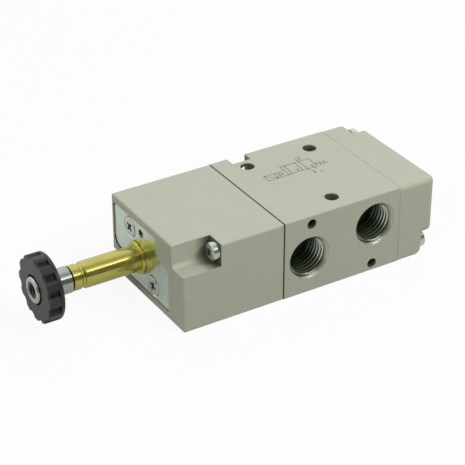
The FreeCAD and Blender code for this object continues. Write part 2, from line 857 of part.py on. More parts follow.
def make_nozzle():
    end = chamber_floor + nozzle_length
    profile = [
        (nozzle_tip_x, nozzle_bore_radius), (nozzle_tip_x, nozzle_tip_radius),
        (chamber_floor, nozzle_radius), (end, nozzle_radius), (end, nozzle_bore_radius),
    ]
    return turned(profile, tube_offset, tube_height)


def make_passage_ball():
    cross_x = chamber_floor + nozzle_length + cross_drill_depth
    return Part.makeSphere(ball_radius, V(cross_x, back - ball_inset, tube_height))


def make_override_screw():
    y = tube_offset
    z = tube_height + override_rise
    shoulder_end = plate_inner + override_shoulder_height
    stem_end = plate_inner + override_stem_length
    top = plate_outer + override_sink
    profile = [
        (top, 0), (top, override_head_radius), (plate_inner, override_head_radius),
        (plate_inner, override_shoulder_radius), (shoulder_end, override_shoulder_radius),
        (shoulder_end, override_stem_radius), (stem_end, override_stem_radius), (stem_end, 0),
    ]
    screw = turned(profile, y, z)
    half = override_slot_width / 2
    reach = override_head_radius + 1
    slot = box(top - 1, top + override_slot_depth, y - reach, y + reach, z - half, z + half)
    cross_hole = rod_z(override_stem_radius / 2, z - reach, z + reach, stem_end - override_hole_from_end, y)
    return screw.cut(slot).cut(cross_hole)


def make_override_seal():
    x0 = plate_inner + override_shoulder_height
    return ring_x(override_shoulder_radius, override_stem_radius + running_clearance,
                  x0 + seat_clearance, x0 + override_seal_height, tube_offset, tube_height + override_rise)


# Knob group
knob_back = core_head_left - knob_seat_gap
knob_face = knob_back - knob_thickness
ring_x_place = knob_back + ring_proud - ring_section_radius


def scalloped_outline(x, y, z):
    """Closed wire of ribs and hollows in the plane x."""
    away = knob_radius + scallop_radius - scallop_depth
    half = acos((knob_radius ** 2 + away ** 2 - scallop_radius ** 2) / (2 * knob_radius * away))
    step = 2 * pi / scallop_count

    def point(radius, angle):
        return V(x, y + radius * cos(angle), z + radius * sin(angle))

    arcs = []
    for i in range(scallop_count):
        a = step * (i + 0.5)
        hollow = Part.Arc(point(knob_radius, a - half), point(away - scallop_radius, a),
                          point(knob_radius, a + half))
        rib = Part.Arc(point(knob_radius, a + half), point(knob_radius, a + step / 2),
                       point(knob_radius, a + step - half))
        arcs += [hollow.toShape(), rib.toShape()]
    return Part.Wire(arcs)


def make_knob():
    """Disc with a plain back flange and scallops that run out at the flange."""
    y, z = tube_offset, tube_height
    flange_x = knob_back - knob_flange_thickness
    grip = Part.Face(scalloped_outline(knob_face, y, z)).extrude(V(flange_x - knob_face, 0, 0))
    grip = grip.makeFillet(knob_edge_round, edges_along(grip, V(1, 0, 0)))
    rim = [edge for edge in grip.Edges if abs(edge.BoundBox.XMax - knob_face) < 0.01]
    grip = grip.makeFillet(knob_rim_round, rim)
    c = knob_flange_chamfer
    flange = turned([(flange_x, 0), (flange_x, knob_radius - c), (flange_x + c, knob_radius),
                     (knob_back - c, knob_radius), (knob_back, knob_radius - c), (knob_back, 0)], y, z)
    disc = grip.fuse(flange)

    recess_end = knob_face + face_recess_depth
    disc = disc.cut(rod_x(face_recess_radius, knob_face - 1, recess_end, y, z))
    disc = disc.cut(rod_x(insert_radius + seat_clearance, knob_face - 1, knob_face + insert_face_depth, y, z))
    disc = disc.cut(rod_x(insert_body_radius + seat_clearance, knob_face, knob_back + 1, y, z))
    wide = ring_section_radius + seat_clearance
    outer = y + ring_mean_radius + wide
    inner = y + ring_mean_radius - wide
    x = ring_x_place
    groove = turned_wire([
        Part.Arc(V(x, inner, z), V(x - wide, y + ring_mean_radius, z), V(x, outer, z)).toShape(),
        Part.LineSegment(V(x, outer, z), V(knob_back + 1, outer, z)).toShape(),
        Part.LineSegment(V(knob_back + 1, outer, z), V(knob_back + 1, inner, z)).toShape(),
        Part.LineSegment(V(knob_back + 1, inner, z), V(x, inner, z)).toShape(),
    ], y, z)
    return disc.cut(groove)


def make_knob_insert():
    """Threaded bush with a rounded head that stands proud of the knob's face."""
    y, z = tube_offset, tube_height
    bore = stud_radius + running_clearance
    face_x = knob_face - insert_proud
    step_x = knob_face + insert_face_depth
    rim = insert_rim_round
    short = rim * (1 - sqrt(0.5))
    profile = [
        (face_x + rim, insert_radius), (step_x, insert_radius), (step_x, insert_body_radius),
        (knob_back, insert_body_radius), (knob_back, bore), (face_x + insert_chamfer, bore),
        (face_x, bore + insert_chamfer), (face_x, insert_radius - rim),
    ]
    points = [V(x, y + radius, z) for x, radius in profile]
    lines = [Part.LineSegment(a, b).toShape() for a, b in zip(points, points[1:])]
    rounding = Part.Arc(points[-1], V(face_x + short, y + insert_radius - short, z), points[0]).toShape()
    return turned_wire(lines + [rounding], y, z)


def make_knob_ring():
    return o_ring(ring_mean_radius, ring_section_radius, ring_x_place, tube_offset, tube_height)


actuator_screw_tip = body_left + clamp_thread_depth - screw_tip_room
end_screw_tip = body_right - clamp_thread_depth + screw_tip_room

save("valve_body", make_valve_body())
save("actuator_cap", make_actuator_cap())
save("end_cap", make_end_cap())
save("cap_gasket", make_gasket(actuator_right, cap_gasket_inset, chamber_radius, actuator_corners, True))
save("end_gasket", make_gasket(body_right, end_gasket_inset, spring_chamber_radius, end_corners, False))
save("actuator_cap_screws", *[clamp_screw(corner, actuator_pocket_end, actuator_screw_tip)
                              for corner in actuator_corners])
save("end_cap_screws", *[clamp_screw(corner, end_pocket_start, end_screw_tip) for corner in end_corners])
save("pilot_plate", make_plate())
save("pilot_plate_screws", *[make_plate_screw(y, z) for y, z in plate_screw_places])
save("operator_tube", make_operator_tube())
save("fixed_core", make_fixed_core())
save("core_seal", make_core_seal())
save("shading_ring", make_shading_ring())
save("tube_seal", make_tube_seal())
save("pilot_nozzle", make_nozzle())
save("passage_ball", make_passage_ball())
save("override_screw", make_override_screw())
save("override_seal", make_override_seal())
save("plunger", make_plunger())
save("plunger_lower_seal", make_lower_disc())
save("plunger_upper_seal", make_upper_disc())
save("plunger_spring", make_spring(pole_face, plunger_shoulder, tube_offset, tube_height,
                                   plunger_coil_radius, plunger_wire_radius, plunger_spring_turns))
save("piston", make_piston())
save("piston_seal", make_piston_seal())
save("spool", make_spool())
save("spool_seals", *[make_lip_seal(x) for x in seal_places])
save("spool_cages", *[make_cage(a + seal_width / 2, b - seal_width / 2)
                      for a, b in zip(seal_places, seal_places[1:])])
save("guide_ring", make_guide_ring())
save("return_spring", make_spring(spool_end, end_left + spring_chamber_depth, 0, spool_height,
                                  spring_coil_radius, spring_wire_radius, spring_turns))
save("knob", make_knob())
save("knob_insert", make_knob_insert())
save("knob_seal_ring", make_knob_ring())
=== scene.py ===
import json
from math import ceil, cos, pi, radians, sin

import bmesh
import bpy
from mathutils import Matrix, Vector


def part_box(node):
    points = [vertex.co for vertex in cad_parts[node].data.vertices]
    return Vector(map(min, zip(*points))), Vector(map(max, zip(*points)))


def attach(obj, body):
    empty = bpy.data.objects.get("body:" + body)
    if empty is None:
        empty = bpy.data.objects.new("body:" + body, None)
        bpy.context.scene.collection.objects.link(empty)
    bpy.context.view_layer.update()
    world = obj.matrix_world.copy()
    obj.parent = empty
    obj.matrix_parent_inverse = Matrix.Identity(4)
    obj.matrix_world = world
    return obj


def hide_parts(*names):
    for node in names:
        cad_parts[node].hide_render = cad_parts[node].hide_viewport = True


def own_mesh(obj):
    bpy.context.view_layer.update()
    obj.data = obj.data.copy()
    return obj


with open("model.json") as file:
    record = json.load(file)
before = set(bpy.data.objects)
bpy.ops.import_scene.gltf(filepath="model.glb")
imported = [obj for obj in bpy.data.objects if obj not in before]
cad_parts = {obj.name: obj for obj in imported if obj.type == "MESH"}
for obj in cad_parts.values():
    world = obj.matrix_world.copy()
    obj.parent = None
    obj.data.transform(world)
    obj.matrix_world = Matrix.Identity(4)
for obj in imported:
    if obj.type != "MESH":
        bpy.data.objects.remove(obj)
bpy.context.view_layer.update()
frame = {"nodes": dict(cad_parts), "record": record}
mounts = {m["name"]: m for m in frame["record"]["mounts"]}
nodes = frame["nodes"]

# Metres, in the frame of the CAD model: X along the spool, Y to the back, Z up.
MM = 0.001

# Places read from the frame
body_low, body_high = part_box("valve_body")
plate_low, plate_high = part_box("pilot_plate")
tube_low, tube_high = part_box("operator_tube")
knob_low, knob_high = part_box("knob")
insert_low, insert_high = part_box("knob_insert")
tube_y = (tube_low.y + tube_high.y) / 2
tube_z = (tube_low.z + tube_high.z) / 2
top_z = body_high.z

# G1/4 thread in the ports
port_mouth_radius = 6.98 * MM
port_major_radius = 6.50 * MM
port_minor_radius = 5.72 * MM
port_pitch = 1.337 * MM
port_sleeve_radius = 7.05 * MM
port_thread_start = 0.12 * MM
port_thread_end = 10.85 * MM

# Thread in the knob's insert, down to the end of the stud
insert_mouth_radius = 2.35 * MM
insert_major_radius = 2.14 * MM
insert_minor_radius = 1.78 * MM
insert_pitch = 0.8 * MM
insert_sleeve_radius = 2.5 * MM
insert_thread_start = 0.15 * MM
insert_thread_end = 2.2 * MM

# Both threads: flat at root and crest as a share of the pitch, and the angle above which edges stay sharp
thread_flat = 0.12
thread_smooth_angle = 50
weld_distance = 0.0001 * MM

# Pan-head clamp screws, and flat countersunk screws in the plate
clamp_head_radius = 2.8 * MM
clamp_head_height = 2.2 * MM
clamp_head_crown = 0.5 * MM
clamp_head_flat_radius = 1.4 * MM
clamp_shank_radius = 1.5 * MM
clamp_recess_reach = 1.35 * MM
plate_head_radius = 3.3 * MM
plate_head_gap = 0.28 * MM
plate_head_proud = 0.2 * MM
plate_head_chamfer = 0.3 * MM
plate_shank_radius = 1.75 * MM
plate_recess_reach = 1.55 * MM
recess_half_width = 0.46 * MM
recess_depth = 1.5 * MM
recess_taper = 0.5
screw_tip_chamfer = 0.3 * MM
clamp_recess_turns = (70, 120)
plate_recess_turns = (70, 140)
screw_steps = 48
crown_steps = 6
screw_smooth_angle = 35
loose_fit = 0.01 * MM

# How far inside the body's box a bare hole wall starts
bare_margin = 0.3 * MM

# Printed symbol on top of the body
ink_width = 0.24 * MM
digit_ink_width = 0.2 * MM
ink_height = 0.012 * MM
ink_sink = 0.01 * MM
mitre_limit = 0.35

# Noise in the materials: its roughness, and the band that most of its values fall in
noise_roughness = 0.55
noise_band = (0.3, 0.7)

# Colours that more than one material needs
enamel_color = (0.485, 0.495, 0.39)
cap_enamel_share = 1.01
core_color = (0.43, 0.46, 0.41)
# Near-black colour laid on enamel as painted shade: along the cap joint, round the inset plate and in the
# cap's pocket.
painted_shade_color = (0.05, 0.055, 0.038)
white = (1, 1, 1)


# Mesh helpers
def add_object(name, data):
    obj = bpy.data.objects.new(name, data)
    bpy.context.scene.collection.objects.link(obj)
    return obj


def mesh_object(name, mesh_data):
    """Turns a bmesh into an object whose faces point outward."""
    bmesh.ops.recalc_face_normals(mesh_data, faces=mesh_data.faces)
    mesh = bpy.data.meshes.new(name)
    mesh_data.to_mesh(mesh)
    mesh_data.free()
    return add_object(name, mesh)


def smooth(mesh, angle):
    """Shades a mesh smooth, apart from edges sharper than an angle in degrees."""
    mesh.shade_smooth()
    mesh.set_sharp_from_angle(angle=radians(angle))


def add_piece(name, mesh_data, material, body):
    """Turns a bmesh into a piece with one material that rides on a CAD body."""
    obj = mesh_object(name, mesh_data)
    obj.data.materials.append(material)
    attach(obj, body)
    return obj


def axis_frame(origin, axis):
    """Matrix whose local +Z is the given axis, with its origin there."""
    turn = Vector((0, 0, 1)).rotation_difference(Vector(axis).normalized())
    return Matrix.Translation(Vector(origin)) @ turn.to_matrix().to_4x4()


def lathe(profile, steps, place):
    """Closed solid turned about local Z from an outline of (radius, z) points that ends on the axis."""
    bm = bmesh.new()
    rings = []
    for radius, z in profile:
        if radius == 0:
            rings.append([bm.verts.new((0, 0, z))])
            continue
        rings.append([bm.verts.new((radius * cos(2 * pi * i / steps), radius * sin(2 * pi * i / steps), z))
                      for i in range(steps)])
    for low, high in zip(rings, rings[1:]):
        for i in range(steps):
            j = (i + 1) % steps
            corners = [low[i % len(low)], low[j % len(low)], high[j % len(high)], high[i % len(high)]]
            unique = list(dict.fromkeys(corners))
            if len(unique) > 2:
                bm.faces.new(unique)
    bmesh.ops.transform(bm, matrix=place, verts=bm.verts)
    return bm


def cut_away(obj, cutter):
    """Takes the cutter's volume out of an object's mesh and deletes the cutter."""
    change = obj.modifiers.new("cut", "BOOLEAN")
    change.operation = "DIFFERENCE"
    change.solver = "EXACT"
    change.object = cutter
    bpy.context.view_layer.update()
    depsgraph = bpy.context.evaluated_depsgraph_get()
    mesh = bpy.data.meshes.new_from_object(obj.evaluated_get(depsgraph))
    obj.modifiers.remove(change)
    old = obj.data
    obj.data = mesh
    bpy.data.meshes.remove(old)
    bpy.data.objects.remove(cutter)


# Node helpers
class NodeTree:
    """Shorthand for adding and joining nodes in one node tree."""

    def __init__(self, tree):
        self.tree = tree

    def node(self, kind, **values):
        made = self.tree.nodes.new("ShaderNode" + kind)
        for key, value in values.items():
            if hasattr(made, key):
                setattr(made, key, value)
            else:
                made.inputs[key].default_value = value
        return made

    def put(self, value, socket):
        """Gives a socket a number, a colour or another socket's value."""
        if isinstance(value, bpy.types.NodeSocket):
            self.tree.links.new(value, socket)
        elif isinstance(value, tuple):
            socket.default_value = (*value, 1)
        else:
            socket.default_value = value

    def math(self, operation, *values):
        made = self.node("Math", operation=operation)
        for socket, value in zip(made.inputs, values):
            self.put(value, socket)
        return made.outputs[0]

    def span(self, factor, low, high, new_low, new_high):
        """Turns the range from low to high into the range from new_low to new_high, and holds it there."""
        made = self.node("MapRange")
        self.put(factor, made.inputs["Value"])
        for key, value in (("From Min", low), ("From Max", high), ("To Min", new_low), ("To Max", new_high)):
            made.inputs[key].default_value = value
        return made.outputs["Result"]

    def coords(self):
        return self.node("TexCoord").outputs["Object"]

    def axes(self):
        """The three object coordinates."""
        split = self.node("SeparateXYZ")
        self.put(self.coords(), split.inputs[0])
        return split.outputs

    def offset(self, output, middle):
        """Distance of a coordinate from a place on its axis."""
        return self.math("ABSOLUTE", self.math("SUBTRACT", output, middle))

    def mix_shaders(self, factor, first, second):
        made = self.node("MixShader")
        for socket, value in zip(made.inputs, (factor, first, second)):
            self.put(value, socket)
        return made.outputs[0]


class Shader(NodeTree):
    """A node material around one Principled shader."""

    def __init__(self, name, color, metallic, roughness):
        self.material = bpy.data.materials.new(name)
        self.material.use_nodes = True
        super().__init__(self.material.node_tree)
        self.main = self.tree.nodes["Principled BSDF"]
        self.set("Base Color", color)
        self.set("Metallic", metallic)
        self.set("Roughness", roughness)
        self.plain_color = color
        self.plain_roughness = roughness
        self.relief = None

    def set(self, socket, value):
        self.put(value, self.main.inputs[socket])

    def noise(self, size, detail, stretch=None):
        """Noise whose features measure about size metres, with stretch as its scale along each axis."""
        made = self.node("TexNoise", Scale=1 / size, Detail=detail, Roughness=noise_roughness)
        source = self.coords()
        if stretch is not None:
            mapping = self.node("Mapping", Scale=stretch)
            self.put(source, mapping.inputs["Vector"])
            source = mapping.outputs["Vector"]
        self.put(source, made.inputs["Vector"])
        return made.outputs["Fac"]

    def vary(self, noise, low, high):
        """Spreads the usual values of noise over a range."""
        return self.span(noise, *noise_band, low, high)

    def ramp(self, factor, stops):
        made = self.node("ValToRGB")
        elements = made.color_ramp.elements
        while len(elements) < len(stops):
            elements.new(0.5)
        for element, (place, color) in zip(elements, stops):
            element.position = place
            element.color = (*color, 1)
        self.put(factor, made.inputs["Fac"])
        return made.outputs["Color"]

    def shades(self, noise, dark, light, band=noise_band):
        """The plain colour, varied with noise between two shares of itself."""
        low, high = band
        return self.ramp(noise, [(low, tint(self.plain_color, dark)), (high, tint(self.plain_color, light))])

    def cover(self, share, color):
        """Lays a colour over the present one by a share."""
        present = self.main.inputs["Base Color"].links[0].from_socket
        self.set("Base Color", self.mix(share, present, color))

    def grain(self, noise, fall, rise, depth):
        """Lets noise vary the roughness, by fall below the plain one and rise above it, and the relief."""
        self.set("Roughness", self.vary(noise, self.plain_roughness - fall, self.plain_roughness + rise))
        self.bump(noise, depth)

    def mix(self, factor, a, b):
        made = self.node("Mix", data_type="RGBA")
        colors = [socket for socket in made.inputs if socket.type == "RGBA"]
        self.put(a, colors[0])
        self.put(b, colors[1])
        self.put(factor, next(i for i in made.inputs if i.name == "Factor" and i.type == "VALUE"))
        return next(o for o in made.outputs if o.type == "RGBA")

    def within(self, low, high):
        """1 inside the box between two corners, and 0 outside."""
        near = [self.math("LESS_THAN", self.offset(output, (start + end) / 2), (end - start) / 2)
                for output, start, end in zip(self.axes(), low, high)]
        return self.math("MULTIPLY", self.math("MULTIPLY", near[0], near[1]), near[2])

    def radius(self, first, second):
        """Length of two offsets at right angles."""
        squares = [self.math("MULTIPLY", value, value) for value in (first, second)]
        return self.math("SQRT", self.math("ADD", *squares))

    def tube_radius(self):
        """Distance from the tube's axis."""
        _, y, z = self.axes()
        return self.radius(self.offset(y, tube_y), self.offset(z, tube_z))

    def bump(self, height, depth):
        """Adds relief of about depth metres on top of any earlier relief."""
        made = self.node("Bump", Strength=1.0, Distance=depth)
        self.put(height, made.inputs["Height"])
        if self.relief is not None:
            self.put(self.relief, made.inputs["Normal"])
        self.relief = made.outputs["Normal"]
        self.set("Normal", self.relief)


def tint(color, share):
    return tuple(min(1.0, c * share) for c in color)


# Materials
def painted_metal(name, color, roughness, peel):
    """Fine stove enamel on cast or milled metal, with faint clouding and an orange-peel skin."""
    s = Shader(name, color, 0.0, roughness)
    cloud = s.noise(9 * MM, 3)
    flecks = s.shades(s.noise(0.35 * MM, 2), 0.93, 1.07, band=(0.35, 0.65))
    s.set("Base Color", s.mix(0.35, s.shades(cloud, 0.96, 1.04), flecks))
    s.set("Roughness", s.vary(cloud, roughness - 0.05, roughness + 0.06))
    s.bump(s.noise(peel, 3), 0.02 * MM)
    return s


def cap_enamel(name):
    """Coarser enamel of the two cast caps, a little lighter than the body's."""
    return painted_metal(name, tint(enamel_color, cap_enamel_share), 0.45, 0.6 * MM)


def joint_shade(s):
    """Share of painted shade along the joint between actuator cap and body."""
    half_width, edge = 0.15 * MM, 0.42 * MM
    middle = (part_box("actuator_cap")[1].x + body_low.x) / 2
    return s.span(s.offset(s.axes()[0], middle), half_width, edge, 0.8, 0)


def body_material():
    """Enamel outside, and bare metal on the walls of every port and hole, darkened there as painted shade."""
    s = painted_metal("body_enamel", enamel_color, 0.42, 0.5 * MM)
    # Painted shade on the enamel along the joint with the actuator cap.
    s.cover(joint_shade(s), painted_shade_color)
    margin = Vector((bare_margin, bare_margin, bare_margin))
    inside = s.within(body_low + margin, body_high - margin)
    # Dark colour of the hole walls: painted shade on bare metal.
    s.cover(inside, (0.21, 0.20, 0.145))
    s.set("Metallic", s.math("MULTIPLY", inside, 0.4))
    return s.material


def actuator_material():
    """Enamel, with painted shade round the inset plate and a painted shadow in the pocket beside the screw
    head.
    """
    s = cap_enamel("cap_enamel")
    low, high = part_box("actuator_cap")
    skin, edge = 0.1 * MM, 0.4 * MM
    # Painted shade on the recess walls round the inset plate.
    rim = s.within((low.x + skin, plate_low.y - edge, plate_low.z - edge),
                   (plate_high.x + edge, plate_high.y + edge, plate_high.z + edge))
    seat_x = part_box("actuator_cap_screws")[0].x + clamp_head_height
    pocket_length, pocket_width, pocket_height = 6 * MM, 6.8 * MM, 7.4 * MM
    pocket = s.within((seat_x - pocket_length, low.y + edge / 2, high.z - pocket_height),
                      (seat_x + edge, low.y + pocket_width, high.z - edge / 2))
    # Painted shadow in the pocket, darkest next to the screw head.
    lit_x, shadowed_x = seat_x - 5 * MM, seat_x - 1.5 * MM
    pocket_shadow = s.math("MULTIPLY", pocket, s.span(s.axes()[0], lit_x, shadowed_x, 0, 0.85))
    plate_and_pocket_shade = s.math("MAXIMUM", s.math("MULTIPLY", rim, 0.9), pocket_shadow)
    s.cover(s.math("MAXIMUM", plate_and_pocket_shade, joint_shade(s)), painted_shade_color)
    return s.material


def turning_marks(s):
    """Fine marks that run round an axis along X."""
    return s.noise(0.12 * MM, 2, stretch=(1, 0.04, 0.04))


def turned_metal(name, color, roughness):
    """Bare metal off the lathe."""
    s = Shader(name, color, 1.0, roughness)
    s.set("Base Color", s.shades(s.noise(3 * MM, 3), 0.92, 1.06))
    s.grain(turning_marks(s), 0.06, 0.08, 0.004 * MM)
    return s.material


def core_material():
    """Turned steel, painted near black as shade in the crimp groove, where it runs into the tube."""
    s = Shader("core_steel", core_color, 1.0, 0.16)
    s.set("Base Color", s.shades(s.noise(3 * MM, 3), 0.92, 1.06))
    # Painted shade in the gap between core and tube, from just outside the tube's end inward.
    groove_start = tube_low.x - 0.5 * MM
    s.cover(s.math("GREATER_THAN", s.axes()[0], groove_start), (0.02, 0.022, 0.018))
    s.grain(turning_marks(s), 0.05, 0.06, 0.003 * MM)
    return s.material


def plated_metal(name, color, roughness):
    """Zinc or nickel plate: bright, slightly cloudy, with fine random scratches."""
    s = Shader(name, color, 1.0, roughness)
    s.set("Base Color", s.shades(s.noise(4 * MM, 4), 0.9, 1.08))
    s.grain(s.noise(0.2 * MM, 3), 0.05, 0.08, 0.003 * MM)
    return s.material


def insert_material():
    """Nickel plate on a ring whose face is crowned between its bore and its edge."""
    s = Shader("insert_nickel", (0.52, 0.52, 0.49), 1.0, 0.18)
    dark, light = (0.48, 0.48, 0.45), (0.58, 0.58, 0.55)
    s.set("Base Color", s.ramp(s.noise(4 * MM, 4), [(noise_band[0], dark), (noise_band[1], light)]))
    edge_radius = (insert_high.z - insert_low.z) / 2
    middle = (edge_radius + insert_mouth_radius) / 2
    half_width = (edge_radius - insert_mouth_radius) / 2
    off = s.math("DIVIDE", s.math("SUBTRACT", s.tube_radius(), middle), half_width)
    s.bump(s.math("SUBTRACT", 1.0, s.math("MULTIPLY", off, off)), 0.2 * MM)
    s.grain(s.noise(0.2 * MM, 3), 0.05, 0.08, 0.003 * MM)
    return s.material


def moulded_plastic(name, color, roughness):
    """Fibre-filled plastic with a fine spark-eroded grain and slightly paler rubbed places."""
    s = Shader(name, color, 0.0, roughness)
    s.set("Base Color", s.shades(s.noise(5 * MM, 3), 0.85, 1.2))
    s.grain(s.noise(0.25 * MM, 3), 0.06, 0.08, 0.02 * MM)
    return s


def knob_material():
    """Black plastic, with painted shade down in the flutes of the rim: darker colour and weaker specular
    there.
    """
    s = moulded_plastic("knob_plastic", (0.021, 0.022, 0.023), 0.34)
    rim_radius = (knob_high.z - knob_low.z) / 2
    low_in_flute = s.span(s.tube_radius(), rim_radius - 1.0 * MM, rim_radius - 0.15 * MM, 1, 0)
    behind_face = s.span(s.axes()[0], knob_low.x + 0.3 * MM, knob_low.x + 0.9 * MM, 0, 1)
    # Painted shade in the flutes, lowering both colour and specular.
    flute_shade = s.math("MULTIPLY", low_in_flute, behind_face)
    s.cover(flute_shade, (0.003, 0.003, 0.003))
    s.set("Specular IOR Level", s.span(flute_shade, 0, 1, 0.55, 0.1))
    return s.material


def rubber(name, color):
    """Dull, finely grained surface, for seals, gaskets and the painted shade in screw recesses."""
    s = Shader(name, color, 0.0, 0.6)
    grain = s.noise(0.15 * MM, 2)
    s.set("Base Color", s.shades(grain, 0.8, 1.5))
    s.grain(grain, 0.1, 0.1, 0.01 * MM)
    return s.material


def thread_material(name, mount):
    """Cut thread with crests worn bright plus a painted highlight, roots darkened as painted shade, painted
    light that fades with depth and towards the lower left, and a bare chamfer at the mouth.
    """
    # Near-black roots are painted shade; the bright crests are wear plus a painted highlight.
    root_shade_color, flank_color, crest_wear_and_highlight_color = (0.018, 0.034, 0.016), (0.42, 0.47, 0.37), (0.94, 0.97, 0.88)
    s = Shader(name, flank_color, 0.92, 0.28)
    x, y, z = s.axes()
    port_x, _, port_z = mount["pos_m"]
    dx = s.math("SUBTRACT", x, port_x)
    dz = s.math("SUBTRACT", z, port_z)
    depth = s.math("SUBTRACT", body_high.y, s.math("ABSOLUTE", y))
    crest = s.span(s.radius(dx, dz), port_minor_radius + 0.05 * MM, port_minor_radius + 0.6 * MM, 1, 0)
    # Painted light: brighter near the mouth and on the upper right, shaded deeper in and towards the lower
    # left.
    lit_near_mouth = s.span(depth, 3 * MM, 7.5 * MM, 1, 0.12)
    lit_side = s.span(s.math("ADD", dx, dz), -4 * MM, 3 * MM, 0.25, 1)
    lit_rim = s.span(depth, 1 * MM, 3.5 * MM, 0.6, 0)
    painted_thread_light = s.math("MAXIMUM", s.math("MULTIPLY", lit_near_mouth, lit_side), lit_rim)
    fine = s.noise(0.3 * MM, 3)
    # Crest brightening: wear plus painted highlight.
    worn = s.math("MULTIPLY", crest, s.math("MULTIPLY", painted_thread_light, s.vary(fine, 0.75, 1)))
    s.set("Base Color", s.ramp(worn, [(0, root_shade_color), (0.5, flank_color), (1, crest_wear_and_highlight_color)]))
    mouth = s.span(depth, 0.65 * MM, 0.85 * MM, 1, 0)
    s.cover(mouth, (0.50, 0.52, 0.43))
    s.set("Metallic", s.span(mouth, 0, 1, 0.92, 0.7))
    s.grain(fine, 0.04, 0.08, 0.002 * MM)
    return s.material


def ink_material():
    """Dark print, worn pale in places."""
    s = Shader("symbol_ink", (0.06, 0.065, 0.06), 0.0, 0.5)
    patchy = s.noise(0.5 * MM, 3)
    s.set("Base Color", s.shades(patchy, 0.7, 2.2))
    s.set("Roughness", s.vary(patchy, 0.4, 0.6))
    return s.material


zinc = plated_metal("zinc_plate", (0.66, 0.77, 0.66), 0.26)
screw_steel = plated_metal("screw_steel", (0.60, 0.66, 0.59), 0.2)
dark_steel = plated_metal("dark_steel", (0.20, 0.22, 0.19), 0.35)
brass = turned_metal("drawn_brass", (0.57, 0.515, 0.135), 0.17)
plunger_steel = turned_metal("turned_steel", core_color, 0.2)
copper = turned_metal("copper_ring", (0.80, 0.42, 0.28), 0.3)
spring_steel = plated_metal("spring_steel", (0.5, 0.5, 0.5), 0.3)
light_metal = turned_metal("turned_aluminium", (0.75, 0.76, 0.77), 0.3)
acetal = moulded_plastic("acetal", (0.05, 0.05, 0.052), 0.4).material
seal_rubber = rubber("seal_rubber", (0.012, 0.012, 0.013))
pale_seal = rubber("pale_seal", (0.46, 0.47, 0.385))
# Near-black material for the screws' cross recesses: painted shade.
recess_shade = rubber("recess_shade", (0.07, 0.08, 0.065))
# Near-black thread in the insert's bore: painted shade.
shaded_insert_bore = plated_metal("shaded_insert_bore", (0.09, 0.09, 0.085), 0.4)

node_materials = {
    "valve_body": body_material(),
    "actuator_cap": actuator_material(),
    "end_cap": cap_enamel("end_enamel").material,
    "cap_gasket": seal_rubber,
    "end_gasket": pale_seal,
    "actuator_cap_screws": screw_steel,
    "end_cap_screws": screw_steel,
    "pilot_plate": zinc,
    "pilot_plate_screws": screw_steel,
    "operator_tube": brass,
    "fixed_core": core_material(),
    "override_screw": dark_steel,
    "knob": knob_material(),
    "knob_insert": insert_material(),
    "tube_seal": seal_rubber,
    "core_seal": seal_rubber,
    "shading_ring": copper,
    "plunger": plunger_steel,
    "plunger_lower_seal": seal_rubber,
    "plunger_upper_seal": seal_rubber,
    "plunger_spring": spring_steel,
    "pilot_nozzle": brass,
    "passage_ball": screw_steel,
    "override_seal": seal_rubber,
    "piston": acetal,
    "piston_seal": seal_rubber,
    "spool": light_metal,
    "spool_seals": seal_rubber,
    "spool_cages": acetal,
    "guide_ring": acetal,
    "return_spring": spring_steel,
    "knob_seal_ring": seal_rubber,
}
for name, obj in nodes.items():
    obj.data.materials.clear()
    obj.data.materials.append(node_materials[name])


# Threads
def thread_profile(share, major, minor):
    """Radius of an internal thread at a share of its pitch, with small flats at root and crest."""
    flank = 0.5 - thread_flat
    share %= 1
    if share < thread_flat:
        return major
    if share < thread_flat + flank:
        return major + (minor - major) * (share - thread_flat) / flank
    if share < 2 * thread_flat + flank:
        return minor
    return minor + (major - minor) * (share - 2 * thread_flat - flank) / flank


def thread_sleeve(major, minor, pitch, sleeve, start, end, mouth, steps=96, rows=14):
    """Closed sleeve about local Z with a right-hand thread inside, cut by a cone that is mouth wide at z = 0.

    Depth is measured down local -Z, and the rows of points follow the helix.
    """
    row_count = ceil(rows * ((end - start) / pitch + 1)) + 1
    bm = bmesh.new()
    columns = []
    for i in range(steps + 1):
        angle = -2 * pi * i / steps
        column = []
        for k in range(row_count + 1):
            depth = start + (k / rows - 1 + i / steps) * pitch
            held = min(max(depth, start), end)
            radius = thread_profile(k / rows, major, minor)
            if depth < start:
                radius = minor
            if depth > end:
                radius = major
            runout = minor + (major - minor) * max(0.0, 1 - (end - held) / pitch)
            radius = max(radius, mouth - held, runout)
            column.append(bm.verts.new((radius * cos(angle), radius * sin(angle), -held)))
        column.append(bm.verts.new((sleeve * cos(angle), sleeve * sin(angle), -end)))
        column.append(bm.verts.new((sleeve * cos(angle), sleeve * sin(angle), -start)))
        columns.append(column)
    count = len(columns[0])
    for left, right in zip(columns, columns[1:]):
        for k in range(count):
            following = (k + 1) % count
            bm.faces.new((left[k], left[following], right[following], right[k]))
    bmesh.ops.remove_doubles(bm, verts=bm.verts, dist=weld_distance)
    bmesh.ops.dissolve_degenerate(bm, edges=bm.edges, dist=weld_distance)
    return bm


def port_thread(name, mount):
    """Thread from a port's face inward along its mount."""
    axis = Vector(mount["axis"])
    origin = Vector(mount["pos_m"])
    origin.y = body_high.y * axis.y
    bm = thread_sleeve(port_major_radius, port_minor_radius, port_pitch, port_sleeve_radius,
                       port_thread_start, port_thread_end, port_mouth_radius - loose_fit)
    bmesh.ops.transform(bm, matrix=axis_frame(origin, axis), verts=bm.verts)
    thread = add_piece(name, bm, thread_material(name + "_metal", mount), "valve")
    smooth(thread.data, thread_smooth_angle)


